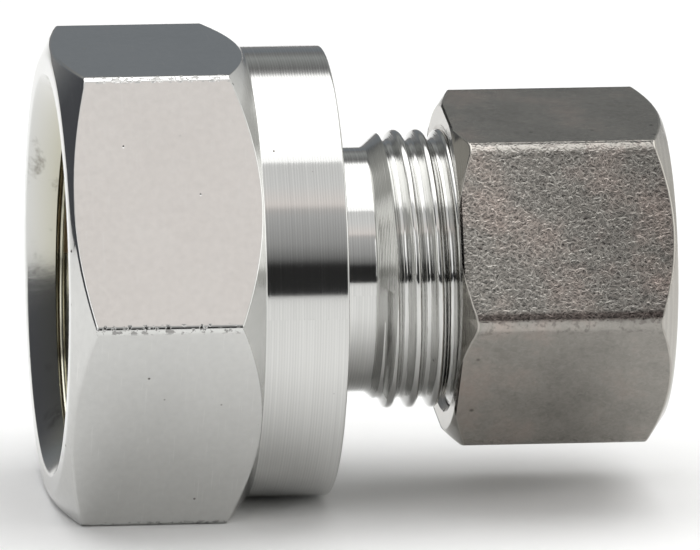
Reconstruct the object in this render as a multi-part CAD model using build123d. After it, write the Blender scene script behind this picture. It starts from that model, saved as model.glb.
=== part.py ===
from build123d import *
import os
from math import cos, radians, tan

# A straight compression adapter of plated brass: a G1/2 female end on a 27 mm hexagon, a round
# collar, a short neck and a G3/8 male spigot that takes a 12 mm tube, with its olive and its nut.
# The axis runs along +X. The origin is the middle of the female end face, and +Z is up, with one
# flat of the body's hexagon underneath. All sizes are in millimetres.

# --- pipe threads (Whitworth form) ---
FLANK_ANGLE = 27.5  # half of the 55 degree thread angle
PORT_THREAD_DIAMETER = 20.955  # G1/2, nominal major diameter
PORT_THREAD_PITCH = 1.814
PORT_THREAD_DEPTH = 1.1615
NUT_THREAD_DIAMETER = 16.662  # G3/8, nominal major diameter
NUT_THREAD_PITCH = 1.337
NUT_THREAD_DEPTH = 0.62  # the plated and polished thread has full roots and low crests
MALE_ALLOWANCE = 0.08  # a male thread stands this far inside its nominal radius
FEMALE_ALLOWANCE = 0.04  # a female thread stands this far outside its nominal radius
THREAD_RELIEF = 0.15  # a relief groove is cut this far past the root of its thread
PORT_THREAD_PHASE = 69.0  # turns the port's thread about the axis, in degrees
NUT_THREAD_PHASE = 160.0  # turns the spigot's thread and the nut's about the axis, in degrees
SPARE_TURNS = 3  # turns that a thread is cut past each end, before its piece is trimmed

# --- tube ---
TUBE_DIAMETER = 12.0
TUBE_WALL = 1.0
SOCKET_CLEARANCE = 0.08  # radial, tube to the body's socket
OLIVE_CLEARANCE = 0.06  # radial, tube to olive
NUT_HOLE_CLEARANCE = 0.15  # radial, tube to the nut's back wall
TUBE_INSERTION = 10.0  # from the spigot's end to the shoulder that stops the tube
WATERWAY_DIAMETER = TUBE_DIAMETER - 2 * TUBE_WALL

# --- body ---
BODY_FLATS = 27.0  # across flats
BODY_EDGE_RADIUS = 0.3  # on the six long edges of the hexagon
RIM_RADIUS = 13.0  # outer edge of the flat ring at the female end
RIM_CHAMFER_DEPTH = 1.3  # along the axis, measured at a corner of the hexagon
PORT_MOUTH_RADIUS = 11.9  # the countersink at the female end
PORT_MOUTH_ANGLE = 45.0
HEX_LENGTH = 11.5  # from the female end face to the collar
BACK_CHAMFER_DEPTH = 1.7  # along the axis, measured at a corner of the hexagon
COLLAR_DIAMETER = 26.7
COLLAR_LENGTH = 4.9
COLLAR_EDGE_BREAK = 0.2
PORT_DEPTH = 13.5  # from the female end face to the flat floor of the socket
PORT_RELIEF_LENGTH = 1.9
NECK_STEP = 1.081  # radial, from the nominal thread down to the neck
NECK_LENGTH = 2.4
RUNOUT_LENGTH = 1.1  # the cone that leads up from the neck to the thread
THREAD_LENGTH = 9.05  # full-diameter part of the spigot
SPIGOT_CHAMFER = 0.9
SEAT_ANGLE = 30.0  # half angle of the conical seat for the olive
SEAT_DEPTH = 1.6

# --- nut ---
NUT_WALL = 1.119  # radial, from the nominal thread out to a flat
NUT_CORNER_RADIUS = 1.0  # on the six long edges of the hexagon
NUT_LENGTH = 12.9
NUT_CHAMFER_ANGLE = 35.0  # from the plane of the end faces
NUT_FRONT_RING = 0.15  # the flat ring towards the body ends this far outside the flats
NUT_BACK_RING = 0.3  # the flat ring that the tube enters ends this far inside the flats
NUT_MOUTH_LEAD = 0.2  # the nut's countersink is this much wider than its thread
NUT_RELIEF_LENGTH = 1.5
NUT_BACK_WALL = 1.9  # length of the plain hole round the tube
NUT_HOLE_BREAK = 0.3
NUT_SEAT_ANGLE = 45.0  # half angle of the cone inside the nut that bears on the olive
NUT_TURN = 6.5  # how far the nut's flats are turned from the body's, in degrees

# --- olive ---
OLIVE_WALL = 1.05
OLIVE_END_WALL = 0.35
OLIVE_LENGTH = 6.0
OLIVE_PLAY = 0.25  # along the axis, from the olive to the seat in the spigot
NUT_PLAY = 0.1  # along the axis, from the olive to the cone in the nut

# --- sizes that follow from the thread of the nut ---
NECK_DIAMETER = NUT_THREAD_DIAMETER - 2 * NECK_STEP
NUT_FLATS = NUT_THREAD_DIAMETER + 2 * NUT_WALL
NUT_FRONT_RADIUS = NUT_FLATS / 2 + NUT_FRONT_RING
NUT_BACK_RADIUS = NUT_FLATS / 2 - NUT_BACK_RING

# --- places along the axis, in the order in which the pieces stack up ---
COLLAR_END = HEX_LENGTH + COLLAR_LENGTH
RUNOUT_START = COLLAR_END + NECK_LENGTH
THREAD_START = RUNOUT_START + RUNOUT_LENGTH
SPIGOT_END = THREAD_START + THREAD_LENGTH
SOCKET_RADIUS = TUBE_DIAMETER / 2 + SOCKET_CLEARANCE
OLIVE_BORE = TUBE_DIAMETER / 2 + OLIVE_CLEARANCE
OLIVE_END_RADIUS = OLIVE_BORE + OLIVE_END_WALL
NUT_HOLE_RADIUS = TUBE_DIAMETER / 2 + NUT_HOLE_CLEARANCE
SEAT_CONTACT = SPIGOT_END - SEAT_DEPTH + (OLIVE_END_RADIUS - SOCKET_RADIUS) / tan(radians(SEAT_ANGLE))
OLIVE_START = SEAT_CONTACT + OLIVE_PLAY
OLIVE_END = OLIVE_START + OLIVE_LENGTH
NUT_CONE_END = OLIVE_END + NUT_PLAY + (OLIVE_END_RADIUS - NUT_HOLE_RADIUS) / tan(radians(NUT_SEAT_ANGLE))
NUT_BACK = NUT_CONE_END + NUT_BACK_WALL
NUT_FRONT = NUT_BACK - NUT_LENGTH


def thread_radii(diameter, depth, allowance):
    """The major and minor radius of a thread that stands allowance outside its nominal form."""
    major = diameter / 2 + allowance
    return major, major - depth


def cone_run(rise, half_angle):
    """The length along the axis over which a cone of this half angle climbs by rise."""
    return rise / tan(radians(half_angle))


def corner_radius(flats):
    """The distance from the axis to a sharp corner of a hexagon."""
    return flats / 2 / cos(radians(30))


def turned(*points):
    """The solid of revolution about the X axis under an outline of (x, radius) points."""
    outline = [(points[0][0], 0), *points, (points[-1][0], 0)]
    section = make_face(Polyline(*outline, close=True))
    return revolve(section, Axis.X)


def hexagon_bar(flats, start, end, edge_radius, turn):
    """A hexagonal bar along the X axis, one flat down, then turned about the axis."""
    section = RegularPolygon(radius=flats / 2, side_count=6, major_radius=False, rotation=turn)
    bar = extrude(Plane.YZ.offset(start) * section, end - start)
    return fillet(bar.edges().filter_by(Axis.X), edge_radius)


def groove(pitch, root, crest, start, end, phase):
    """The space between the turns of a right-hand thread, as one solid wound round the X axis.

    It is widest at the crest and runs a little past it. The root is the outer radius of an
    inside thread and the inner radius of an outside one.
    """
    slope = tan(radians(FLANK_ANGLE))
    middle = (root + crest) / 2
    open_side = crest + (crest - root) / 8
    half_at_root = pitch / 4 - abs(root - middle) * slope
    half_at_open_side = pitch / 4 + abs(open_side - middle) * slope
    section = Plane.XZ * Polyline(
        (open_side, -half_at_open_side),
        (root, -half_at_root),
        (root, half_at_root),
        (open_side, half_at_open_side),
        close=True,
    )
    coil = Helix(pitch=pitch, height=end - start, radius=middle)
    wound = sweep(make_face(section), path=coil, is_frenet=True)
    turn = phase + 360 * start / pitch
    return Location((start, 0, 0)) * Rotation(0, 90, 0) * Rotation(0, 0, turn) * wound


def port_end():
    """The hexagon with the G1/2 socket in it, and the collar behind."""
    major, minor = thread_radii(PORT_THREAD_DIAMETER, PORT_THREAD_DEPTH, FEMALE_ALLOWANCE)
    corner = corner_radius(BODY_FLATS)
    collar = COLLAR_DIAMETER / 2
    relief = major + THREAD_RELIEF
    lead_in = SPARE_TURNS * PORT_THREAD_PITCH

    blank = turned((-lead_in, corner + 1), (COLLAR_END, corner + 1))
    hole = turned((-lead_in, minor), (PORT_DEPTH, minor))
    thread = groove(
        PORT_THREAD_PITCH,
        major,
        minor,
        -PORT_THREAD_PITCH,
        PORT_DEPTH - PORT_RELIEF_LENGTH / 2,
        PORT_THREAD_PHASE,
    )
    hexagon = hexagon_bar(BODY_FLATS, 0, HEX_LENGTH, BODY_EDGE_RADIUS, 0)
    chamfered = turned(
        (0, RIM_RADIUS),
        (RIM_CHAMFER_DEPTH, corner),
        (HEX_LENGTH - BACK_CHAMFER_DEPTH, corner),
        (HEX_LENGTH, collar),
    )
    round_collar = turned(
        (HEX_LENGTH, collar),
        (COLLAR_END - COLLAR_EDGE_BREAK, collar),
        (COLLAR_END, collar - COLLAR_EDGE_BREAK),
    )
    mouth = turned(
        (0, PORT_MOUTH_RADIUS),
        (cone_run(PORT_MOUTH_RADIUS - minor, PORT_MOUTH_ANGLE), minor),
    )
    undercut = turned((PORT_DEPTH - PORT_RELIEF_LENGTH, relief), (PORT_DEPTH, relief))
    waterway = turned((PORT_DEPTH, WATERWAY_DIAMETER / 2), (COLLAR_END, WATERWAY_DIAMETER / 2))
    outside = (hexagon & chamfered) + round_collar
    return (outside & (blank - hole - thread)) - mouth - undercut - waterway


def spigot_end():
    """The neck and the threaded spigot, with the socket and the conical seat in its end."""
    major, minor = thread_radii(NUT_THREAD_DIAMETER, NUT_THREAD_DEPTH, -MALE_ALLOWANCE)
    neck = NECK_DIAMETER / 2
    tube_stop = SPIGOT_END - TUBE_INSERTION
    spare = SPARE_TURNS * NUT_THREAD_PITCH

    bar = turned((COLLAR_END - spare, major), (SPIGOT_END + spare, major))
    thread = groove(
        NUT_THREAD_PITCH,
        minor,
        major,
        COLLAR_END,
        SPIGOT_END + NUT_THREAD_PITCH,
        NUT_THREAD_PHASE,
    )
    outline = turned(
        (COLLAR_END, neck),
        (RUNOUT_START, neck),
        (RUNOUT_START + 2 * RUNOUT_LENGTH, 2 * major - neck),
        (SPIGOT_END - SPIGOT_CHAMFER - major + neck, 2 * major - neck),
        (SPIGOT_END, major - SPIGOT_CHAMFER),
    )
    bore = turned(
        (COLLAR_END, WATERWAY_DIAMETER / 2),
        (tube_stop, WATERWAY_DIAMETER / 2),
        (tube_stop, SOCKET_RADIUS),
        (SPIGOT_END - SEAT_DEPTH, SOCKET_RADIUS),
        (SPIGOT_END, SOCKET_RADIUS + SEAT_DEPTH * tan(radians(SEAT_ANGLE))),
    )
    return ((bar - thread) & outline) - bore


def make_body():
    return port_end() + spigot_end()


def make_nut():
    """The hexagon nut, threaded at the end towards the body, with a cone that bears on the olive."""
    major, minor = thread_radii(NUT_THREAD_DIAMETER, NUT_THREAD_DEPTH, FEMALE_ALLOWANCE)
    corner = corner_radius(NUT_FLATS)
    relief = major + THREAD_RELIEF
    cone_start = NUT_CONE_END - cone_run(minor - NUT_HOLE_RADIUS, NUT_SEAT_ANGLE)
    relief_start = cone_start - NUT_RELIEF_LENGTH
    lead_in = SPARE_TURNS * NUT_THREAD_PITCH
    chamfer = tan(radians(NUT_CHAMFER_ANGLE))
    mouth_radius = major + NUT_MOUTH_LEAD

    blank = turned((NUT_FRONT - lead_in, corner + 1), (NUT_BACK, corner + 1))
    hole = turned((NUT_FRONT - lead_in, minor), (cone_start, minor))
    thread = groove(
        NUT_THREAD_PITCH,
        major,
        minor,
        NUT_FRONT - NUT_THREAD_PITCH,
        cone_start - NUT_RELIEF_LENGTH / 2,
        NUT_THREAD_PHASE + 180,
    )
    hexagon = hexagon_bar(NUT_FLATS, NUT_FRONT, NUT_BACK, NUT_CORNER_RADIUS, NUT_TURN)
    chamfered = turned(
        (NUT_FRONT, NUT_FRONT_RADIUS),
        (NUT_FRONT + (corner - NUT_FRONT_RADIUS) * chamfer, corner),
        (NUT_BACK - (corner - NUT_BACK_RADIUS) * chamfer, corner),
        (NUT_BACK, NUT_BACK_RADIUS),
    )
    mouth = turned((NUT_FRONT, mouth_radius), (NUT_FRONT + mouth_radius - minor, minor))
    undercut = turned((relief_start, relief), (cone_start, relief))
    cone = turned((cone_start, minor), (NUT_CONE_END, NUT_HOLE_RADIUS))
    back_hole = turned(
        (NUT_CONE_END, NUT_HOLE_RADIUS),
        (NUT_BACK - NUT_HOLE_BREAK, NUT_HOLE_RADIUS),
        (NUT_BACK, NUT_HOLE_RADIUS + NUT_HOLE_BREAK),
    )
    outside = hexagon & chamfered
    return (outside & (blank - hole - thread)) - mouth - undercut - cone - back_hole


def make_olive():
    """The brass ring round the tube, with an end to fit the spigot's seat and one to fit the nut's."""
    outer = OLIVE_BORE + OLIVE_WALL
    rise = OLIVE_WALL - OLIVE_END_WALL
    outside = turned(
        (OLIVE_START, OLIVE_END_RADIUS),
        (OLIVE_START + cone_run(rise, SEAT_ANGLE), outer),
        (OLIVE_END - cone_run(rise, NUT_SEAT_ANGLE), outer),
        (OLIVE_END, OLIVE_END_RADIUS),
    )
    return outside - turned((OLIVE_START, OLIVE_BORE), (OLIVE_END, OLIVE_BORE))


os.makedirs("parts", exist_ok=True)
export_step(make_body(), "parts/body.step")
export_step(make_nut(), "parts/compression_nut.step")
export_step(make_olive(), "parts/olive.step")
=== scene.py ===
import math

import bpy
from bpy.props import FloatProperty, FloatVectorProperty, PointerProperty
from mathutils import Matrix, Vector


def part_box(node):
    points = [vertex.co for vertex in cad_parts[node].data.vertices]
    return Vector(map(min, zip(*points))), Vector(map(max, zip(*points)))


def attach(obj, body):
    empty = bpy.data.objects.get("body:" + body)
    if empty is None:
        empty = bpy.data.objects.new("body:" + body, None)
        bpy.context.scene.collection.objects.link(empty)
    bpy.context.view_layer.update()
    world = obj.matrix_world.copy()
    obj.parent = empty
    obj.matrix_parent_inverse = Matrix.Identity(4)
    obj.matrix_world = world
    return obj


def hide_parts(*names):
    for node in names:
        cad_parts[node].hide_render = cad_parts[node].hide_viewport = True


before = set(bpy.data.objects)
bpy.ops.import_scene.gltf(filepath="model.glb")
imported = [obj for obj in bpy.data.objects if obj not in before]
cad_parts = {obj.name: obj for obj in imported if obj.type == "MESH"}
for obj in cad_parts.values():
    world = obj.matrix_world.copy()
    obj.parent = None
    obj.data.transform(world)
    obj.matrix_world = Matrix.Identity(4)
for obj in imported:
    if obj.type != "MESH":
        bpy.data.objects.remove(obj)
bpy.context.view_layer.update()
body_low, body_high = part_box("body")
nut_low, nut_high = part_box("compression_nut")
olive_low, olive_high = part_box("olive")

bl_info = {
    "name": "Compression Fitting",
    "version": (1, 0, 0),
    "blender": (4, 5, 0),
    "location": "View3D > Sidebar > Fitting",
    "description": "Builds a straight compression adapter with its nut and olive",
    "category": "Add Mesh",
}

MM = 0.001
AROUND = 288  # facets round a turned surface
BODY_AROUND = 96  # fewer round a blank that a hexagon trims, so that its arcs leave no slivers
NUT_AROUND = 84
TURN_STEPS = 144  # facets round one turn of a thread
OUTLINE_STEPS = 5  # facets on each rounded crest and root of a thread
WELD = 0.0005 * MM
SPARE = 0.1 * MM  # a turned blank stands this far past the corners of its hexagon
OVERRUN = 2 * MM  # a hexagonal bar stands this far past both ends of its blank
RELIEF = 0.15 * MM  # how far a relief groove goes below the roots of its thread
THREAD_CREST = 200  # a crest of the nut's thread passes above the axis after this turn, in degrees
PORT_ROOT = 111  # the same for a root of the socket's thread
HALF_FLANK = math.radians(27.5)  # half of the angle between the flanks of a pipe thread
HARD_EDGE = math.radians(20)  # faces that meet at more than this have their edge softened
SMOOTH_LIMIT = math.radians(32)  # and past this an edge is shaded as a hard one
SLANT = math.tan(math.radians(30))


# --- sizes and colours ---


def length(name, text, default):
    """A size in metres that shows in the scene's own length unit."""
    return FloatProperty(name=name, description=text, default=default, unit="LENGTH",
                         subtype="DISTANCE", precision=5)


def colour(name, text, default):
    return FloatVectorProperty(name=name, description=text, default=default, subtype="COLOR",
                               size=3, min=0, max=1)


def angle(name, text, degrees):
    return FloatProperty(name=name, description=text, default=math.radians(degrees),
                         subtype="ANGLE", unit="ROTATION")


class BodySizes(bpy.types.PropertyGroup):
    flats: length("Across flats", "Spanner size of the body's hexagon", body_high.z - body_low.z)
    end: length("Spigot end", "Place of the spigot's end along the axis", body_high.x)
    hexagon: length("Hexagon length", "From the female end face to the collar", 11.5 * MM)
    rim: length("Rim radius", "Outer edge of the flat ring at the female end", 13.0 * MM)
    rim_chamfer: length("Rim chamfer", "Depth of the front chamfer at a corner", 1.3 * MM)
    back_chamfer: length("Back chamfer", "Depth of the back chamfer at a corner", 1.7 * MM)
    collar: length("Collar diameter", "The round part behind the hexagon", 26.7 * MM)
    collar_end: length("Collar end", "Place where the collar meets the neck", 16.4 * MM)
    neck: length("Neck diameter", "The undercut before the thread", 14.5 * MM)
    runout: length("Run-out start", "Place where the neck starts to widen", 18.8 * MM)
    thread_start: length("Thread start", "Place where the thread is full", 19.9 * MM)
    major: length("Thread radius", "Crest radius of the spigot's thread", 8.251 * MM)
    pitch: length("Thread pitch", "Advance per turn of the nut's thread", 1.337 * MM)
    depth: length("Thread depth", "From crest to root of the nut's thread", 0.62 * MM)
    port_major: length("Port radius", "Root radius of the thread in the socket", 10.5175 * MM)
    port_pitch: length("Port pitch", "Advance per turn of the socket's thread", 1.814 * MM)
    port_thread: length("Port thread depth", "From crest to root in the socket", 1.1615 * MM)
    port_relief: length("Port relief", "Place where the socket's relief groove starts", 11.6 * MM)
    mouth: length("Port mouth", "Radius of the countersink at the female end", 11.9 * MM)
    port_depth: length("Port depth", "From the female end face to the socket's floor", 13.5 * MM)
    waterway: length("Waterway", "Radius of the passage", 5.0 * MM)
    socket: length("Socket radius", "The socket that holds the tube", 6.08 * MM)
    socket_depth: length("Socket depth", "From the spigot's end to the tube's stop", 10.0 * MM)
    seat: length("Seat depth", "Depth of the cone that the olive is pressed into", 1.6 * MM)
    nose: length("Nose chamfer", "Chamfer outside the spigot's end", 0.9 * MM)
    softness: length("Edge softness", "Width of the polish along hard edges", 0.3 * MM)


class NutSizes(bpy.types.PropertyGroup):
    flats: length("Across flats", "Spanner size of the nut", 18.9 * MM)
    front: length("Front", "Place of the face towards the body", nut_low.x)
    back: length("Back", "Place of the face that the tube enters", nut_high.x)
    corner: length("Corner radius", "Radius on the six long edges", 1.0 * MM)
    front_ring: length("Front ring", "Radius of the flat ring in front", 9.6 * MM)
    back_ring: length("Back ring", "Radius of the flat ring at the back", 9.15 * MM)
    major: length("Thread radius", "Root radius of the nut's thread", 8.371 * MM)
    hole: length("Hole radius", "The hole that the tube passes", 6.15 * MM)
    softness: length("Edge softness", "Width of the rounding along hard edges", 0.14 * MM)
    hole_length: length("Hole length", "From the inside cone to the back face", 1.9 * MM)
    hole_chamfer: length("Hole chamfer", "Chamfer where the tube enters", 0.3 * MM)
    relief: length("Relief length", "Width of the groove behind the thread", 1.5 * MM)
    chamfer: angle("Chamfer", "Slope of the chamfers at both ends", 35)
    turn: angle("Turn", "How far the nut is screwed round at rest", 6.5)


class OliveSizes(bpy.types.PropertyGroup):
    start: length("Start", "Place of the end that meets the spigot", olive_low.x)
    end: length("End", "Place of the end that meets the nut", olive_high.x)
    bore: length("Bore radius", "The hole for the tube", 6.06 * MM)
    outer: length("Outer radius", "The widest part", olive_high.z)
    lip: length("End radius", "Outer radius at both ends", 6.41 * MM)
    softness: length("Edge softness", "Width of the rounding along hard edges", 0.08 * MM)


class Finishes(bpy.types.PropertyGroup):
    chrome: colour("Chrome", "Colour of the bright plating", (0.60, 0.60, 0.585))
    nickel: colour("Nickel", "Colour of the nut's plating", (0.385, 0.368, 0.338))
    # Brass darkened well below its own colour, which paints the shade inside the bore.
    brass: colour("Brass", "Colour of the bare metal", (0.30, 0.215, 0.115))
    floor: colour("Floor", "Colour of the ground", (0.90, 0.90, 0.895))


class StageSettings(bpy.types.PropertyGroup):
    distance: length("Camera distance", "From the camera to the middle of the fitting", 0.977)
    aim: FloatVectorProperty(name="Aim", description="The point that the camera looks at",
                             default=(18.07 * MM, 0, -0.344 * MM), size=3, unit="LENGTH",
                             subtype="TRANSLATION")
    yaw: angle("Camera yaw", "How far the camera stands to the left", 7.25)
    elevation: angle("Camera elevation", "Height above the horizon", 12.44)
    roll: angle("Camera roll", "Turn about the line of sight", 0.466)
    lens: FloatProperty(name="Lens", description="Focal length in millimetres", default=847.3)


# --- modelling steps ---


def pick_none():
    if bpy.context.object and bpy.context.object.mode != "OBJECT":
        bpy.ops.object.mode_set(mode="OBJECT")
    bpy.ops.object.select_all(action="DESELECT")


def pick(piece):
    pick_none()
    piece.select_set(True)
    bpy.context.view_layer.objects.active = piece


def apply_modifier(piece, name, kind, **values):
    """Adds a modifier with these values and applies it at once."""
    pick(piece)
    modifier = piece.modifiers.new(name, kind)
    for key, value in values.items():
        setattr(modifier, key, value)
    bpy.ops.object.modifier_apply(modifier=modifier.name)


def outline(name, points):
    """A chain of edges through points given as (place along the axis, radius)."""
    start = Vector((points[0][0], 0, points[0][1]))
    pick_none()
    bpy.ops.mesh.primitive_plane_add(size=MM, location=start)
    piece = bpy.context.object
    piece.name = name
    bpy.ops.object.transform_apply(location=True, rotation=True, scale=True)
    bpy.ops.object.mode_set(mode="EDIT")
    bpy.ops.mesh.select_mode(type="VERT")
    bpy.ops.mesh.select_all(action="SELECT")
    bpy.ops.mesh.merge(type="CENTER")
    for (x0, r0), (x1, r1) in zip(points, points[1:]):
        step = (x1 - x0, 0, r1 - r0)
        bpy.ops.mesh.extrude_region_move(TRANSFORM_OT_translate={"value": step})
    bpy.ops.object.mode_set(mode="OBJECT")
    return piece


def enclosed(mesh):
    """The volume inside a closed mesh; it is negative if the faces point inwards."""
    mesh.calc_loop_triangles()
    points = mesh.vertices
    total = 0.0
    for triangle in mesh.loop_triangles:
        a, b, c = (points[i].co for i in triangle.vertices)
        total += a.dot(b.cross(c))
    return total / 6


def tidy_mesh(piece):
    """Welds doubled points and turns all faces outwards."""
    pick(piece)
    bpy.ops.object.mode_set(mode="EDIT")
    bpy.ops.mesh.select_all(action="SELECT")
    bpy.ops.mesh.remove_doubles(threshold=WELD)
    bpy.ops.mesh.normals_make_consistent(inside=False)
    bpy.ops.object.mode_set(mode="OBJECT")
    if enclosed(piece.data) < 0:
        bpy.ops.object.mode_set(mode="EDIT")
        bpy.ops.mesh.flip_normals()
        bpy.ops.object.mode_set(mode="OBJECT")


def turned(name, points, around=AROUND):
    """A solid of revolution about the X axis under an outline of (place, radius) points."""
    ends = [(points[0][0], 0.0), *points, (points[-1][0], 0.0)]
    piece = outline(name, ends)
    pick(piece)
    bpy.ops.object.mode_set(mode="EDIT")
    bpy.ops.mesh.select_all(action="SELECT")
    bpy.ops.mesh.spin(steps=around, angle=2 * math.pi, center=(0, 0, 0), axis=(1, 0, 0))
    bpy.ops.object.mode_set(mode="OBJECT")
    tidy_mesh(piece)
    return piece


def turn_about_axis(piece, by):
    """Turns a piece about the X axis, and leaves the object itself unturned."""
    pick(piece)
    bpy.ops.object.mode_set(mode="EDIT")
    bpy.ops.mesh.select_all(action="SELECT")
    bpy.ops.transform.rotate(value=-by, orient_axis="X", center_override=(0, 0, 0))
    bpy.ops.object.mode_set(mode="OBJECT")


def shell(name, points, around):
    """A turned solid with a facet, not a seam, under each corner of a hexagon."""
    piece = turned(name, points, around)
    turn_about_axis(piece, math.pi / around)
    return piece


def corner_radius(flats):
    """From the axis of a hexagonal bar to its corners."""
    return flats / 2 / math.cos(math.radians(30))


def hexagon_bar(name, flats, start, end, rounding=0.0):
    """A hexagonal bar along the X axis, one flat down, with sharp or rounded long edges."""
    pick_none()
    bpy.ops.mesh.primitive_cylinder_add(
        vertices=6, radius=corner_radius(flats), depth=end - start,
        location=((start + end) / 2, 0, 0), rotation=(0, math.radians(90), 0))
    piece = bpy.context.object
    piece.name = name
    bpy.ops.object.transform_apply(location=True, rotation=True, scale=True)
    if not rounding:
        return piece
    bpy.ops.object.mode_set(mode="EDIT")
    bpy.ops.mesh.select_mode(type="EDGE")
    bpy.ops.mesh.select_all(action="DESELECT")
    bpy.ops.object.mode_set(mode="OBJECT")
    points = piece.data.vertices
    for edge in piece.data.edges:
        a, b = (points[i].co for i in edge.vertices)
        edge.select = abs(a.x - b.x) > (end - start) / 2
    bpy.ops.object.mode_set(mode="EDIT")
    bpy.ops.mesh.bevel(offset=rounding * SLANT, segments=5, affect="EDGES")
    bpy.ops.object.mode_set(mode="OBJECT")
    return piece


def combine(piece, tool, operation):
    """Cuts, joins or trims a piece with another solid, which is used up."""
    apply_modifier(piece, "cut", "BOOLEAN", operation=operation, object=tool, solver="MANIFOLD")
    bpy.data.objects.remove(tool)


def thread_outline(major, pitch, depth, middle):
    """One pitch of a thread's outline with a rounded crest at middle and rounded roots."""
    minor = major - depth
    sharp_depth = pitch / 2 / math.tan(HALF_FLANK)
    radius = (sharp_depth - depth) / 2 / (1 / math.sin(HALF_FLANK) - 1)
    sweep = math.radians(90) - HALF_FLANK
    turns = [sweep * i / OUTLINE_STEPS for i in range(OUTLINE_STEPS + 1)]
    half = []
    for turn in turns:
        half.append((pitch / 2 - radius * math.sin(turn), minor + radius * (1 - math.cos(turn))))
    for turn in reversed(turns):
        half.append((radius * math.sin(turn), major - radius * (1 - math.cos(turn))))
    left = [(middle - x, r) for x, r in half]
    right = [(middle + x, r) for x, r in reversed(half[:-1])]
    return left + right


def open_edges(piece, low):
    """Selects the open border at the low or the high end of a coil."""
    counts = {}
    for face in piece.data.polygons:
        for key in face.edge_keys:
            counts[key] = counts.get(key, 0) + 1
    points = piece.data.vertices
    middle = sum(p.co.x for p in points) / len(points)
    for face in piece.data.polygons:
        face.select = False
    for point in points:
        point.select = False
    for edge in piece.data.edges:
        key = tuple(sorted(edge.vertices))
        x = points[key[0]].co.x
        edge.select = counts.get(key) == 1 and (x < middle) == low
        if edge.select:
            points[key[0]].select = points[key[1]].select = True


def close_end(piece, low, tip, flare=None):
    """Closes one end of a coil on a point of the axis, after an optional step outwards."""
    pick(piece)
    bpy.ops.object.mode_set(mode="EDIT")
    bpy.ops.mesh.select_mode(type="EDGE")
    bpy.ops.object.mode_set(mode="OBJECT")
    open_edges(piece, low)
    bpy.ops.object.mode_set(mode="EDIT")
    if flare:
        bpy.ops.mesh.extrude_edges_move()
        bpy.ops.transform.resize(value=(1, flare, flare), center_override=(0, 0, 0))
    bpy.ops.mesh.extrude_edges_move()
    bpy.ops.transform.resize(value=(0, 0, 0), center_override=(tip, 0, 0))
    bpy.ops.mesh.select_all(action="SELECT")
    bpy.ops.mesh.remove_doubles(threshold=WELD)
    bpy.ops.object.mode_set(mode="OBJECT")


def coil(name, major, pitch, depth, crest_turn, start, turns):
    """A right-hand threaded bar with open ends. A crest stands above the axis at crest_turn."""
    crest = pitch * crest_turn / 360
    middle = crest + pitch * math.ceil((start + pitch / 2 - crest) / pitch)
    piece = outline(name, thread_outline(major, pitch, depth, middle))
    apply_modifier(piece, "turns", "SCREW", axis="X", angle=2 * math.pi, steps=TURN_STEPS,
                   render_steps=TURN_STEPS, screw_offset=pitch, iterations=turns,
                   use_merge_vertices=False, use_normal_calculate=False)
    tidy_mesh(piece)
    return piece


def tap(name, major, pitch, depth, crest_turn, start, stop):
    """The space inside a threaded socket, from before its mouth to a flat end."""
    turns = math.ceil((stop - start) / pitch) + 1
    piece = coil(name, major, pitch, depth, crest_turn, start, turns)
    close_end(piece, True, start - pitch)
    close_end(piece, False, start + pitch * (turns + 3))
    tidy_mesh(piece)
    combine(piece, turned("stop", [(start - 3 * pitch, 2 * major), (stop, 2 * major)]), "INTERSECT")
    return piece


def die(major, pitch, depth, crest_turn, start, end):
    """A threaded bar that trims the spigot, and flares out before it to spare the hexagon."""
    turns = math.ceil((end - start) / pitch) + 2
    piece = coil("die", major, pitch, depth, crest_turn, start, turns)
    far_tip = -300 * MM  # so far away that the flare hardly narrows over the hexagon
    close_end(piece, True, far_tip, flare=2.7)
    close_end(piece, False, 50 * MM)
    tidy_mesh(piece)
    return piece


def soften(piece, width, share_at):
    """Rounds the hard edges, as polishing does. Each edge gets a share of the full width."""
    mesh = piece.data
    sides = {}
    for face in mesh.polygons:
        for key in face.edge_keys:
            sides.setdefault(key, []).append(face.normal.copy())
    shares = mesh.attributes.new("bevel_weight_edge", "FLOAT", "EDGE")
    for edge, share in zip(mesh.edges, shares.data):
        first, second = sides[edge.key]
        if first.angle(second, 0.0) > HARD_EDGE:
            a, b = (mesh.vertices[i].co for i in edge.vertices)
            share.value = share_at((a + b) / 2)
    apply_modifier(piece, "softened edges", "BEVEL", width=width, segments=4,
                   limit_method="WEIGHT", profile=0.5, use_clamp_overlap=False)


def shade(piece):
    """Smooth shading that keeps the flats flat and the hard edges hard."""
    pick(piece)
    bpy.ops.object.shade_smooth_by_angle(angle=SMOOTH_LIMIT)
    apply_modifier(piece, "flat faces stay flat", "WEIGHTED_NORMAL", mode="FACE_AREA",
                   weight=50, keep_sharp=True)


def assign(piece, materials, choose):
    """Gives each face the material that choose names for its middle and normal."""
    piece.data.materials.clear()
    for material in materials:
        piece.data.materials.append(material)
    for face in piece.data.polygons:
        face.material_index = choose(face.center, face.normal)


def body_blank(s):
    """The hexagon, collar, neck and spigot as turned and milled, before any hole is bored."""
    corner = corner_radius(s.flats)
    collar = s.collar / 2
    neck = s.neck / 2
    front_run = s.rim_chamfer * (1 + SPARE / (corner - s.rim))
    back_run = s.back_chamfer * (1 + SPARE / (corner - collar))
    blank = shell("body_shell", [
        (0, s.rim),
        (front_run, corner + SPARE),
        (s.hexagon - back_run, corner + SPARE),
        (s.hexagon, collar),
        (s.collar_end, collar),
        (s.collar_end, neck),
        (s.runout, neck),
        (s.thread_start, s.major),
        (s.end - s.nose, s.major),
        (s.end, s.major - s.nose),
    ], BODY_AROUND)
    combine(blank, hexagon_bar("hexagon", s.flats, -OVERRUN, s.end + OVERRUN), "INTERSECT")
    return blank


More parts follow.
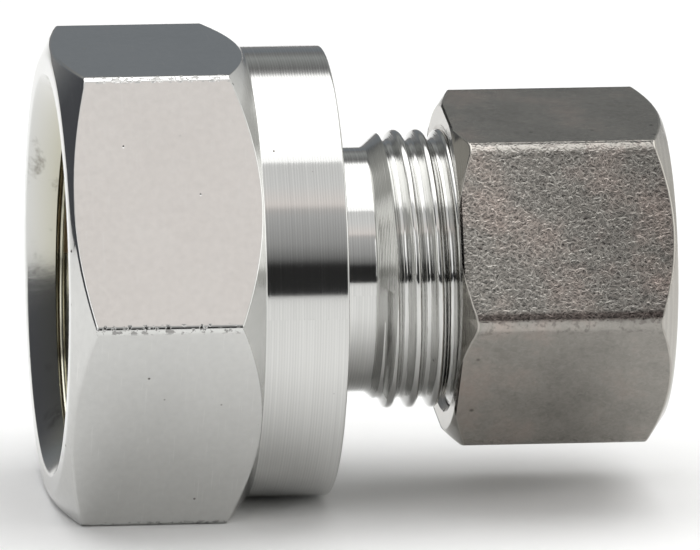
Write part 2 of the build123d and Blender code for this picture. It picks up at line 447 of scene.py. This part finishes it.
def body_bore(s, minor):
    """The space of the countersink, socket, waterway and tube socket, and of the olive's seat."""
    relief = s.port_major + RELIEF
    stop = s.end - s.socket_depth
    return turned("bore", [
        (-MM, s.mouth + MM),
        (s.mouth - minor, minor),
        (s.port_relief, minor),
        (s.port_relief, relief),
        (s.port_depth, relief),
        (s.port_depth, s.waterway),
        (stop, s.waterway),
        (stop, s.socket),
        (s.end - s.seat, s.socket),
        (s.end + MM, s.socket + (s.seat + MM) * SLANT),
    ])


class FITTING_OT_body(bpy.types.Operator):
    """Models the body: hexagon with its threaded socket, collar, neck and threaded spigot"""
    bl_idname = "fitting.body"
    bl_label = "Body"

    def execute(self, context):
        s = context.scene.fitting_body
        minor = s.port_major - s.port_thread
        body = body_blank(s)
        combine(body, body_bore(s, minor), "DIFFERENCE")

        def share_at(place):
            """The hexagon's long edges are rounded most, and the edges inside the socket least."""
            radius = math.hypot(place.y, place.z)
            along_flats = abs(place.x - s.hexagon / 2) < s.hexagon / 4
            arcs_start = s.hexagon - s.back_chamfer - 0.5 * MM
            if along_flats and radius > corner_radius(s.flats) - 0.5 * MM:
                return 1.0
            if place.x < s.collar_end - 0.1 * MM and radius < s.mouth - 0.2 * MM:
                return 0.12
            return 0.2 if arcs_start < place.x < s.hexagon + 0.01 * MM else 0.5

        soften(body, s.softness, share_at)
        combine(body, die(s.major, s.pitch, s.depth, THREAD_CREST, s.collar_end + 0.6 * MM, s.end),
                "INTERSECT")
        combine(body, tap("port_thread", s.port_major, s.port_pitch, s.port_thread, PORT_ROOT,
                          -6 * MM, s.port_relief + 0.9 * MM), "DIFFERENCE")
        shade(body)
        polished, turned_rings, bare, stained = range(4)
        threads_start = s.mouth - minor - 0.2 * MM

        def finish_of(middle, normal):
            radius = math.hypot(middle.y, middle.z)
            in_port = middle.x < s.port_depth + 0.1 * MM
            wall = s.port_major + 0.5 * MM if in_port else s.socket + 0.1 * MM
            if middle.x > threads_start and radius < wall:
                return bare
            if middle.x < s.hexagon / 2 and radius < s.mouth:
                return stained
            return turned_rings if middle.x > s.hexagon - 0.02 * MM else polished

        assign(body, [polished_chrome(context), turned_chrome(context), bare_brass(context),
                      stained_chrome(context)], finish_of)
        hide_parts("body")
        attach(body, "body")
        return {"FINISHED"}


def nut_blank(s):
    """The nut's hexagon with its chamfers, before any hole is bored."""
    corner = corner_radius(s.flats) + SPARE
    slope = math.tan(s.chamfer)
    blank = shell("nut_shell", [
        (s.front, s.front_ring),
        (s.front + (corner - s.front_ring) * slope, corner),
        (s.back - (corner - s.back_ring) * slope, corner),
        (s.back, s.back_ring),
    ], NUT_AROUND)
    combine(blank, hexagon_bar("hexagon", s.flats, s.front - OVERRUN, s.back + OVERRUN, s.corner),
            "INTERSECT")
    return blank


def nut_bore(s, minor, mouth, cone_start):
    """The space of the nut's bore before its thread is cut, with its groove, cone and hole."""
    relief_start = cone_start - s.relief
    relief = s.major + RELIEF
    return turned("bore", [
        (s.front - MM, mouth + MM),
        (s.front + mouth - minor, minor),
        (relief_start, minor),
        (relief_start, relief),
        (cone_start, relief),
        (cone_start, minor),
        (s.back - s.hole_length, s.hole),
        (s.back - s.hole_chamfer, s.hole),
        (s.back + MM, s.hole + s.hole_chamfer + MM),
    ])


class FITTING_OT_nut(bpy.types.Operator):
    """Models the compression nut: forged hexagon, thread, inside cone and the hole for the tube"""
    bl_idname = "fitting.nut"
    bl_label = "Compression nut"

    def execute(self, context):
        s = context.scene.fitting_nut
        thread = context.scene.fitting_body
        minor = s.major - thread.depth
        mouth = s.major + 0.2 * MM
        cone_start = s.back - s.hole_length - (minor - s.hole)
        nut = nut_blank(s)
        combine(nut, nut_bore(s, minor, mouth, cone_start), "DIFFERENCE")

        def share_at(place):
            """The edges of the front face stay almost sharp, and those of the bore fairly sharp."""
            if math.hypot(place.y, place.z) < mouth:
                return 0.4
            return 0.08 if place.x < s.front + 0.3 * MM else 0.6

        soften(nut, s.softness, share_at)
        turn_about_axis(nut, s.turn)
        combine(nut, tap("nut_thread", s.major, thread.pitch, thread.depth, THREAD_CREST,
                         s.front - 4 * MM, cone_start - s.relief / 2), "DIFFERENCE")
        shade(nut)
        forged, machined = range(2)

        def finish_of(middle, normal):
            on_a_flat = abs(normal.x) < 0.05 and math.hypot(middle.y, middle.z) > s.back_ring
            return forged if on_a_flat else machined

        assign(nut, [forged_nickel(context), machined_nickel(context)], finish_of)
        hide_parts("compression_nut")
        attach(nut, "nut")
        return {"FINISHED"}


class FITTING_OT_olive(bpy.types.Operator):
    """Models the olive: the brass ring that the nut squeezes onto the tube"""
    bl_idname = "fitting.olive"
    bl_label = "Olive"

    def execute(self, context):
        s = context.scene.fitting_olive
        rise = s.outer - s.lip
        olive = turned("olive_ring", [
            (s.start, s.lip),
            (s.start + rise / SLANT, s.outer),
            (s.end - rise, s.outer),
            (s.end, s.lip),
        ])
        combine(olive, turned("bore", [(s.start - MM, s.bore), (s.end + MM, s.bore)]), "DIFFERENCE")
        soften(olive, s.softness, lambda place: 1.0)
        shade(olive)
        assign(olive, [bare_brass(context)], lambda middle, normal: 0)
        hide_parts("olive")
        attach(olive, "olive")
        return {"FINISHED"}


# --- finishes ---

PIT_DARK = (0.12, 0.11, 0.10)
# Colour the mouth's plating turns to deeper in.
NICK_DARK = (0.08, 0.075, 0.07)
MOUTH_DEEP_YELLOW = (0.44, 0.42, 0.30)
OIL_STAIN = (0.10, 0.085, 0.06)
FORGED_PIT = (0.08, 0.07, 0.065)
FORGED_NICK = (0.10, 0.085, 0.08)
FORGED_RUST = (0.42, 0.31, 0.27)
# Colour of the nut's dark chamfer lines and of the dark reflection painted along its front corner.
FORGED_EDGE_AND_REFLECTION_DARK = (0.07, 0.055, 0.05)


def feed(tree, socket, value):
    """Links an input to another node's output, or gives it a plain value."""
    if isinstance(value, bpy.types.NodeSocket):
        tree.links.new(value, socket)
    else:
        socket.default_value = value


def add(tree, kind, place, **inputs):
    """A node at a place on the sheet. Inputs go by name or as i0 and i1, settings by set_."""
    node = tree.nodes.new(kind)
    node.location = place
    for key, value in inputs.items():
        if key.startswith("set_"):
            setattr(node, key.removeprefix("set_"), value)
    for key, value in inputs.items():
        if not key.startswith("set_"):
            label = int(key[1:]) if key[1:].isdigit() else key.replace("_", " ")
            feed(tree, node.inputs[label], value)
    return node


def use(tree, group, place, **inputs):
    """Places a node group, with values or links given by input name."""
    return add(tree, "ShaderNodeGroup", place, set_node_tree=group, **inputs).outputs


def maths(tree, operation, a, b=None):
    inputs = {"i0": a} if b is None else {"i0": a, "i1": b}
    return add(tree, "ShaderNodeMath", (0, 0), set_operation=operation, **inputs).outputs[0]


def radius_of(tree, parts):
    """How far a place is from the X axis."""
    squares = [maths(tree, "MULTIPLY", parts[name], parts[name]) for name in "YZ"]
    return maths(tree, "SQRT", maths(tree, "ADD", *squares))


def noise(tree, place, vector, scale, detail, **inputs):
    return add(tree, "ShaderNodeTexNoise", place, Vector=vector, Scale=scale, Detail=detail,
               **inputs).outputs["Fac"]


def span(tree, place, value, start, end, **inputs):
    """Rises from 0 where the value is start to 1 where it is end, unless told otherwise."""
    return add(tree, "ShaderNodeMapRange", place, Value=value, From_Min=start, From_Max=end,
               **inputs).outputs[0]


def ramp(tree, value, stops, place=(0, 0)):
    """A colour ramp through stops of (place, grey or colour)."""
    node = add(tree, "ShaderNodeValToRGB", place, Fac=value)
    bar = node.color_ramp
    while len(bar.elements) < len(stops):
        bar.elements.new(0.5)
    for element, (where, shade_of) in zip(bar.elements, stops):
        element.position = where
        element.color = (*([shade_of] * 3 if isinstance(shade_of, (int, float)) else shade_of), 1)
    return node.outputs["Color"]


def effect(name, inputs, outputs):
    """A new node group that reads a place and some numbers and puts out some numbers."""
    tree = bpy.data.node_groups.new(name, "ShaderNodeTree")
    tree.interface.new_socket("Place", in_out="INPUT", socket_type="NodeSocketVector")
    for label, default in inputs.items():
        socket = tree.interface.new_socket(label, in_out="INPUT", socket_type="NodeSocketFloat")
        socket.default_value = default
    for label in outputs:
        tree.interface.new_socket(label, in_out="OUTPUT", socket_type="NodeSocketFloat")
    start = tree.nodes.new("NodeGroupInput")
    start.location = (-900, 0)
    end = tree.nodes.new("NodeGroupOutput")
    end.location = (600, 0)
    return tree, start.outputs, end.inputs


def built_once(build):
    """Makes a node group when it is first asked for. It is named after its function."""
    def group():
        name = build.__name__.replace("_", " ")
        return bpy.data.node_groups.get(name) or build(name)
    return group


def rare_spots(tree, place, scale, edge, share):
    """Small round spots in a share of the cells of a Voronoi pattern."""
    cells = add(tree, "ShaderNodeTexVoronoi", (-500, -200), Vector=place, Scale=scale)
    spot = ramp(tree, cells.outputs["Distance"], edge, (-300, -200))
    chance = add(tree, "ShaderNodeSeparateColor", (-300, -400), Color=cells.outputs["Color"])
    return maths(tree, "MULTIPLY", spot, maths(tree, "LESS_THAN", chance.outputs[0], share))


@built_once
def lathe_lines(name):
    """Fine rings round the X axis, as a cutting tool leaves them."""
    tree, given, result = effect(name, {"Rings per mm": 8.0}, ["Height"])
    parts = add(tree, "ShaderNodeSeparateXYZ", (-700, 0), Vector=given["Place"]).outputs
    angle_round = maths(tree, "ARCTAN2", parts["Z"], parts["Y"])
    scale = maths(tree, "MULTIPLY", given["Rings per mm"], 1 / MM)
    outwards = maths(tree, "ADD", parts["X"], radius_of(tree, parts))
    along = maths(tree, "MULTIPLY", outwards, scale)
    feed_marks = maths(tree, "SINE", maths(tree, "MULTIPLY", along, 2 * math.pi))
    place = add(tree, "ShaderNodeCombineXYZ", (-200, 0), X=along,
                Y=maths(tree, "MULTIPLY", angle_round, 0.35)).outputs[0]
    chatter = noise(tree, (0, 0), place, 1.3, 3.0, Roughness=0.65, set_noise_dimensions="2D")
    uneven = maths(tree, "MULTIPLY", chatter, 0.75)
    height = maths(tree, "ADD", uneven, maths(tree, "MULTIPLY", feed_marks, 0.12))
    tree.links.new(height, result["Height"])
    return tree


@built_once
def fine_marks(name):
    """Hair scratches and pin-point pits."""
    tree, given, result = effect(name, {"Pits": 0.5}, ["Scratch", "Pit"])
    stretched = add(tree, "ShaderNodeMapping", (-700, 200), Vector=given["Place"],
                    Rotation=(0.35, 0.2, 0.5), Scale=(9000, 350, 500)).outputs[0]
    hair = noise(tree, (-500, 200), stretched, 1.0, 2.0)
    tree.links.new(ramp(tree, hair, [(0.64, 0.0), (0.74, 1.0)], (-300, 200)), result["Scratch"])
    pits = rare_spots(tree, given["Place"], 900.0, [(0.04, 1.0), (0.09, 0.0)], given["Pits"])
    tree.links.new(pits, result["Pit"])
    return tree


@built_once
def edge_wear(name):
    """Small ragged nicks in a strip along the corners of a hexagon."""
    tree, given, result = effect(name, {"From radius": 15.4 * MM, "To radius": 15.48 * MM}, ["Nick"])
    parts = add(tree, "ShaderNodeSeparateXYZ", (-700, 0), Vector=given["Place"]).outputs
    near = span(tree, (-300, 0), radius_of(tree, parts), given["From radius"], given["To radius"])
    ragged = noise(tree, (-500, 300), given["Place"], 2600.0, 3.0, Roughness=0.6)
    nick = ramp(tree, ragged, [(0.54, 0.0), (0.60, 1.0)], (-300, 300))
    tree.links.new(maths(tree, "MULTIPLY", near, nick), result["Nick"])
    return tree


@built_once
def grimy_seams(name):
    """Dark lines along the edges of the nut's chamfers, and a dark line painted along one rounded
    corner as the reflection of the sky's dark band.
    """
    labels = ("Front", "Back", "Front ring", "Back ring", "Slope", "Seam angle")
    tree, given, result = effect(name, dict.fromkeys(labels, 0.0), ["Grime", "Seam"])
    parts = add(tree, "ShaderNodeSeparateXYZ", (-700, 0), Vector=given["Place"]).outputs
    radius = radius_of(tree, parts)
    # Dark lines where the flats meet the chamfers at both ends.
    ahead = maths(tree, "DIVIDE", maths(tree, "SUBTRACT", parts["X"], given["Front"]),
                  given["Slope"])
    behind = maths(tree, "DIVIDE", maths(tree, "SUBTRACT", given["Back"], parts["X"]),
                   given["Slope"])
    to_front = maths(tree, "SUBTRACT", maths(tree, "ADD", ahead, given["Front ring"]), radius)
    to_back = maths(tree, "SUBTRACT", maths(tree, "ADD", behind, given["Back ring"]), radius)
    nearest = maths(tree, "MINIMUM", to_front, to_back)
    # Painted dark reflection: a dark line along the rounded corner at the given angle, standing in
    # for the mirrored dark band of the sky.
    turn = maths(tree, "ARCTAN2", parts["Z"], maths(tree, "MULTIPLY", parts["Y"], -1.0))
    off = maths(tree, "ABSOLUTE", maths(tree, "SUBTRACT", turn, given["Seam angle"]))
    to_painted_reflection = maths(tree, "MULTIPLY", off, radius)
    ragged = noise(tree, (-500, 300), given["Place"], 1500.0, 3.0)
    reach = maths(tree, "MULTIPLY", ragged, 0.22 * MM)
    tree.links.new(span(tree, (0, 0), nearest, reach, 0.02 * MM), result["Grime"])
    painted_reflection_reach = maths(tree, "ADD", reach, 0.2 * MM)
    tree.links.new(span(tree, (0, -300), to_painted_reflection, painted_reflection_reach, 0.12 * MM), result["Seam"])
    return tree


@built_once
def forged_grain(name):
    """The leathery skin of a forging: a winding relief, cloudy tones and small dark pits."""
    tree, given, result = effect(name, {}, ["Height", "Tone", "Rust", "Pit"])
    winding = noise(tree, (-500, 300), given["Place"], 3300.0, 1.5, Roughness=0.5, Distortion=1.1)
    swell = noise(tree, (-500, 0), given["Place"], 900.0, 3.0, Roughness=0.55)
    broad = noise(tree, (-500, -600), given["Place"], 190.0, 5.0, Roughness=0.62)
    height = maths(tree, "ADD", winding, maths(tree, "MULTIPLY", swell, 0.6))
    tone = maths(tree, "ADD", maths(tree, "MULTIPLY", winding, 0.35),
                 maths(tree, "MULTIPLY", broad, 0.65))
    tree.links.new(height, result["Height"])
    tree.links.new(tone, result["Tone"])
    tree.links.new(ramp(tree, broad, [(0.50, 0.0), (0.66, 1.0)]), result["Rust"])
    pits = rare_spots(tree, given["Place"], 1100.0, [(0.05, 1.0), (0.2, 0.0)], 0.09)
    tree.links.new(pits, result["Pit"])
    return tree


def new_finish(name):
    """An empty material with its sheet, its Object coordinates and its shader."""
    material = bpy.data.materials.new(name)
    material.use_nodes = True
    tree = material.node_tree
    tree.nodes.clear()
    place = add(tree, "ShaderNodeTexCoord", (-1200, 0)).outputs["Object"]
    shader = add(tree, "ShaderNodeBsdfPrincipled", (300, 0), Metallic=1.0)
    output = add(tree, "ShaderNodeOutputMaterial", (600, 0))
    tree.links.new(shader.outputs[0], output.inputs["Surface"])
    return material, tree, place, shader.inputs


def blend_colour(tree, amount, a, b):
    """Goes from colour a to colour b as the amount goes from 0 to 1."""
    node = add(tree, "ShaderNodeMix", (0, 0), set_data_type="RGBA", i0=amount)
    for socket, value in ((node.inputs[6], a), (node.inputs[7], b)):
        feed(tree, socket, value if isinstance(value, bpy.types.NodeSocket) else (*value, 1))
    return node.outputs[2]


def spread(tree, value, low, high):
    """Maps a value from 0..1 to low..high."""
    return span(tree, (0, 0), value, 0.0, 1.0, To_Min=low, To_Max=high)


def bump(tree, height, strength, distance, normal=None):
    node = add(tree, "ShaderNodeBump", (0, 0), Height=height, Strength=strength, Distance=distance)
    if normal is not None:
        tree.links.new(normal, node.inputs["Normal"])
    return node.outputs[0]


def scaled(colour_of, factor):
    """A colour made lighter or darker."""
    return tuple(min(1.0, factor * part) for part in colour_of)


def polished_chrome(context):
    """Bright plating over polished flats, with hair scratches and a few pits."""
    colours = context.scene.fitting_finishes
    material, tree, place, shader = new_finish("polished_chrome")
    marks = use(tree, fine_marks(), (-900, 0), Place=place, Pits=0.12)
    cloud = noise(tree, (-900, 300), place, 160.0, 4.0)
    haze = noise(tree, (-900, 450), place, 2400.0, 3.0)
    tone = maths(tree, "ADD", maths(tree, "MULTIPLY", cloud, 0.5),
                 maths(tree, "MULTIPLY", haze, 0.5))
    toned = blend_colour(tree, tone, scaled(colours.chrome, 0.89), scaled(colours.chrome, 1.17))
    scored = blend_colour(tree, maths(tree, "MULTIPLY", marks["Scratch"], 0.22), toned,
                          scaled(colours.chrome, 1.4))
    wear = use(tree, edge_wear(), (-900, 600), Place=place)
    nicked = blend_colour(tree, maths(tree, "MULTIPLY", wear["Nick"], 0.6), scored, NICK_DARK)
    tree.links.new(blend_colour(tree, marks["Pit"], nicked, PIT_DARK), shader["Base Color"])
    rough = spread(tree, cloud, 0.06, 0.15)
    tree.links.new(maths(tree, "ADD", rough, maths(tree, "MULTIPLY", marks["Scratch"], 0.08)),
                   shader["Roughness"])
    swell = noise(tree, (-900, -300), place, 420.0, 4.0)
    waved = bump(tree, swell, 0.4, 0.02 * MM)
    scratched = bump(tree, marks["Scratch"], 0.3, 0.006 * MM, normal=waved)
    dents = maths(tree, "ADD", marks["Pit"], wear["Nick"])
    raised = maths(tree, "SUBTRACT", 1.0, dents)
    tree.links.new(bump(tree, raised, 0.6, 0.04 * MM, normal=scratched), shader["Normal"])
    return material


def stained_chrome(context):
    """Plating in the mouth of the socket, stained by handling and by the thread's cutting oil, and
    yellower and darker deeper in.
    """
    colours = context.scene.fitting_finishes
    material, tree, place, shader = new_finish("stained_chrome")
    cloud = noise(tree, (-900, 300), place, 330.0, 6.0, Roughness=0.65)
    inwards = add(tree, "ShaderNodeSeparateXYZ", (-900, 0), Vector=place).outputs["X"]
    # Yellower and darker deeper into the mouth.
    deep = span(tree, (-700, 0), inwards, 0.0, 2.6 * MM)
    yellowed = blend_colour(tree, deep, colours.chrome, MOUTH_DEEP_YELLOW)
    stain = ramp(tree, maths(tree, "ADD", cloud, maths(tree, "MULTIPLY", deep, 0.12)),
                 [(0.60, 0.0), (0.78, 1.0)], (-500, 300))
    tree.links.new(blend_colour(tree, stain, yellowed, OIL_STAIN), shader["Base Color"])
    tree.links.new(spread(tree, cloud, 0.10, 0.30), shader["Roughness"])
    tree.links.new(bump(tree, cloud, 0.5, 0.03 * MM), shader["Normal"])
    return material


def turned_chrome(context):
    """Bright plating over turned rings."""
    colours = context.scene.fitting_finishes
    material, tree, place, shader = new_finish("turned_chrome")
    rings = use(tree, lathe_lines(), (-900, 0), Place=place, Rings_per_mm=6.2)
    marks = use(tree, fine_marks(), (-900, -200), Place=place, Pits=0.08)
    toned = blend_colour(tree, rings["Height"], scaled(colours.chrome, 0.82),
                         scaled(colours.chrome, 1.2))
    tree.links.new(blend_colour(tree, marks["Pit"], toned, PIT_DARK), shader["Base Color"])
    tree.links.new(spread(tree, rings["Height"], 0.05, 0.14), shader["Roughness"])
    tree.links.new(bump(tree, rings["Height"], 0.8, 0.01 * MM), shader["Normal"])
    return material


def bare_brass(context):
    """Unplated metal where a thread or a bore was cut, in a brass darkened to paint the shade inside
    the bore.
    """
    colours = context.scene.fitting_finishes
    material, tree, place, shader = new_finish("bare_brass")
    rings = use(tree, lathe_lines(), (-900, 0), Place=place, Rings_per_mm=12.0)
    cloud = noise(tree, (-900, 300), place, 300.0, 4.0)
    tree.links.new(blend_colour(tree, cloud, colours.brass, scaled(colours.brass, 0.5)),
                   shader["Base Color"])
    tree.links.new(spread(tree, rings["Height"], 0.32, 0.48), shader["Roughness"])
    tree.links.new(bump(tree, rings["Height"], 0.4, 0.01 * MM), shader["Normal"])
    return material


def forged_skin(tree, place):
    """How much of the forging's skin is left: all on the upper front flat, little elsewhere."""
    upper_front = (0, -math.cos(math.radians(30)), math.sin(math.radians(30)))
    facing = add(tree, "ShaderNodeVectorMath", (-900, -400), set_operation="DOT_PRODUCT",
                 i0=tree.nodes["Texture Coordinate"].outputs["Normal"], i1=upper_front)
    skin = span(tree, (-700, -400), facing.outputs["Value"], 0.78, 0.95, To_Min=0.22, To_Max=1.0)
    # A share that grows from the nut's front to its back, where the skin is, to make the nut darker
    # towards its back.
    along = add(tree, "ShaderNodeSeparateXYZ", (-900, -700), Vector=place).outputs["X"]
    towards_back = span(tree, (-700, -700), along, 24.5 * MM, 35.5 * MM)
    return skin, maths(tree, "MULTIPLY", towards_back, skin)


def forged_nickel(context):
    """Satin plating over the leathery skin of a forged hexagon, darker towards the back, with a dark
    reflection painted along one rounded corner.
    """
    nickel = context.scene.fitting_finishes.nickel
    sizes = context.scene.fitting_nut
    material, tree, place, shader = new_finish("forged_nickel")
    grain = use(tree, forged_grain(), (-900, 0), Place=place)
    skin, darker_to_back = forged_skin(tree, place)
    wear = use(tree, edge_wear(), (-900, 600), Place=place, From_radius=10.45 * MM,
               To_radius=10.75 * MM)
    edges_and_reflection = use(tree, grimy_seams(), (-900, 900), Place=place, Front=sizes.front,
                Back=sizes.back, Front_ring=sizes.front_ring, Back_ring=sizes.back_ring,
                Slope=math.tan(sizes.chamfer), Seam_angle=math.radians(-4.0))
    # The dark lines along the chamfers where the skin is, joined with the painted dark reflection
    # along the front corner.
    dark_edges_and_reflection = maths(tree, "MAXIMUM", maths(tree, "MULTIPLY", edges_and_reflection["Grime"], skin), edges_and_reflection["Seam"])
    colour_now = blend_colour(tree, grain["Tone"], scaled(nickel, 0.28), scaled(nickel, 1.4))
    for mask, strength, dirt_and_painted_reflection in (
            (darker_to_back, 0.75, scaled(nickel, 0.42)), (grain["Rust"], 0.36, FORGED_RUST),
            (wear["Nick"], 0.5, FORGED_NICK), (dark_edges_and_reflection, 0.8, FORGED_EDGE_AND_REFLECTION_DARK),
            (grain["Pit"], 0.8, FORGED_PIT)):
        amount = maths(tree, "MULTIPLY", mask, strength)
        colour_now = blend_colour(tree, amount, colour_now, dirt_and_painted_reflection)
    tree.links.new(colour_now, shader["Base Color"])
    tree.links.new(spread(tree, grain["Tone"], 0.17, 0.30), shader["Roughness"])
    relief = maths(tree, "MULTIPLY", grain["Height"], skin)
    tree.links.new(bump(tree, relief, 1.0, 0.1 * MM), shader["Normal"])
    return material


def machined_nickel(context):
    """Plating over the chamfers, the ends and the thread of the nut."""
    colours = context.scene.fitting_finishes
    material, tree, place, shader = new_finish("machined_nickel")
    rings = use(tree, lathe_lines(), (-900, 0), Place=place, Rings_per_mm=7.0)
    tree.links.new(blend_colour(tree, rings["Height"], scaled(colours.nickel, 0.85),
                                scaled(colours.nickel, 1.35)), shader["Base Color"])
    tree.links.new(spread(tree, rings["Height"], 0.14, 0.28), shader["Roughness"])
    tree.links.new(bump(tree, rings["Height"], 0.5, 0.01 * MM), shader["Normal"])
    return material


def floor_finish(context):
    """Pale matt board with a very faint grain."""
    pale = context.scene.fitting_finishes.floor
    material, tree, place, shader = new_finish("pale_floor")
    shader["Metallic"].default_value = 0.0
    grain = noise(tree, (-900, 0), place, 900.0, 3.0)
    tree.links.new(blend_colour(tree, grain, pale, scaled(pale, 1.02)), shader["Base Color"])
    tree.links.new(spread(tree, grain, 0.75, 0.9), shader["Roughness"])
    return material


# --- stage ---

SKY = (  # degrees up from the front, over the top and down behind, with the light from there
    (-10, 0.03), (15, 0.03), (19, 0.24), (26, 0.44), (40, 0.60), (43.5, (0.66, 0.64, 0.63)),
    (46, (1.05, 0.98, 0.95)), (57, 0.94), (73, 0.88), (76, 1.7), (131, 1.8), (134, 0.5),
    (139, 0.22), (153, (0.36, 0.375, 0.37)), (160, 0.23), (166, (0.205, 0.225, 0.245)),
    (180, 0.24))
LEFT_SIDE = (0.08, 0.083, 0.092)
RIGHT_SIDE = (0.8, 0.8, 0.78)
LAMPS = (  # name, place from the middle of the fitting, size, power in watts
    ("overhead", (0, 0.06, 0.45), (0.8, 0.5), 1.1),
    ("front fill", (-0.35, -0.5, 0.25), (0.4, 0.4), 0.6),
    ("side fill", (0.6, -0.1, 0.25), (0.5, 0.4), 0.6),
)


def studio_air(scene):
    """A sky of soft bands that run along the fitting, seen in its polished sides."""
    world = bpy.data.worlds.new("studio")
    scene.world = world
    world.use_nodes = True
    tree = world.node_tree
    tree.nodes.clear()
    way = add(tree, "ShaderNodeTexCoord", (-900, 0)).outputs["Generated"]
    parts = add(tree, "ShaderNodeSeparateXYZ", (-700, 0), Vector=way).outputs
    front = maths(tree, "MULTIPLY", parts["Y"], -1.0)
    turn = maths(tree, "ARCTAN2", parts["Z"], front)
    share = span(tree, (-300, 0), turn, -math.pi, math.pi)
    bands = ramp(tree, share, [((degrees + 180) / 360, light) for degrees, light in SKY])
    left = span(tree, (-300, -300), parts["X"], -0.35, -0.6)
    right = span(tree, (-300, -600), parts["X"], 0.35, 0.65)
    sky = blend_colour(tree, right, blend_colour(tree, left, bands, LEFT_SIDE), RIGHT_SIDE)
    back = add(tree, "ShaderNodeBackground", (300, 0), Color=sky, Strength=1.0)
    add(tree, "ShaderNodeOutputWorld", (600, 0), Surface=back.outputs[0])


def lamp(name, place, target, size, power):
    """A soft area light aimed at a point."""
    data = bpy.data.lights.new(name, "AREA")
    data.shape = "RECTANGLE"
    data.size, data.size_y = size
    data.energy = power
    light = bpy.data.objects.new(name, data)
    bpy.context.scene.collection.objects.link(light)
    light.location = place
    light.rotation_euler = (target - place).to_track_quat("-Z", "Y").to_euler()


def studio_camera(scene, s):
    """A long lens that looks down a little at the fitting from the front left."""
    data = bpy.data.cameras.new("camera")
    camera = bpy.data.objects.new("camera", data)
    scene.collection.objects.link(camera)
    back = Vector((-math.sin(s.yaw) * math.cos(s.elevation),
                   -math.cos(s.yaw) * math.cos(s.elevation), math.sin(s.elevation)))
    right = Vector((math.cos(s.yaw), -math.sin(s.yaw), 0))
    up = back.cross(right)
    tilted_right = math.cos(s.roll) * right + math.sin(s.roll) * up
    tilted_up = back.cross(tilted_right)
    turn = Matrix((tilted_right, tilted_up, back)).transposed()
    camera.matrix_world = Matrix.Translation(s.aim + back * s.distance) @ turn.to_4x4()
    data.lens = s.lens
    data.sensor_width = 36.0
    data.clip_start, data.clip_end = 0.05, 20.0
    scene.camera = camera


class FITTING_OT_stage(bpy.types.Operator):
    """Sets the floor, the studio light and the camera round the fitting"""
    bl_idname = "fitting.stage"
    bl_label = "Stage"

    def execute(self, context):
        scene = context.scene
        s = scene.fitting_stage
        pick_none()
        bpy.ops.mesh.primitive_plane_add(size=4.0, location=(0, 0, body_low.z))
        floor = context.object
        floor.name = "floor"
        bpy.ops.object.transform_apply(location=True)
        floor.data.materials.append(floor_finish(context))
        studio_air(scene)
        for name, place, size, power in LAMPS:
            lamp(name, s.aim + Vector(place), s.aim, size, power)
        studio_camera(scene, s)
        scene.view_settings.view_transform = "Standard"
        return {"FINISHED"}


class FITTING_PT_panel(bpy.types.Panel):
    """Lists the pieces of the fitting with their sizes"""
    bl_idname = "FITTING_PT_panel"
    bl_label = "Compression fitting"
    bl_space_type = "VIEW_3D"
    bl_region_type = "UI"
    bl_category = "Fitting"

    def draw(self, context):
        scene = context.scene
        for label, settings, operator in (
                ("Body", scene.fitting_body, "fitting.body"),
                ("Compression nut", scene.fitting_nut, "fitting.nut"),
                ("Olive", scene.fitting_olive, "fitting.olive"),
                ("Finishes", scene.fitting_finishes, None),
                ("Stage", scene.fitting_stage, "fitting.stage")):
            box = self.layout.box()
            box.label(text=label)
            for key in settings.bl_rna.properties.keys():
                if key not in ("rna_type", "name"):
                    box.prop(settings, key)
            if operator:
                box.operator(operator)


GROUPS = {
    "fitting_body": BodySizes,
    "fitting_nut": NutSizes,
    "fitting_olive": OliveSizes,
    "fitting_finishes": Finishes,
    "fitting_stage": StageSettings,
}
OPERATORS = (FITTING_OT_body, FITTING_OT_nut, FITTING_OT_olive, FITTING_OT_stage)


def register():
    for kind in (*GROUPS.values(), *OPERATORS, FITTING_PT_panel):
        bpy.utils.register_class(kind)
    for name, kind in GROUPS.items():
        setattr(bpy.types.Scene, name, PointerProperty(type=kind))


def unregister():
    for name in GROUPS:
        delattr(bpy.types.Scene, name)
    for kind in reversed((*GROUPS.values(), *OPERATORS, FITTING_PT_panel)):
        bpy.utils.unregister_class(kind)


def main():
    register()
    bpy.ops.fitting.body()
    bpy.ops.fitting.nut()
    bpy.ops.fitting.olive()
    bpy.ops.fitting.stage()


if __name__ == "__main__":
    main()
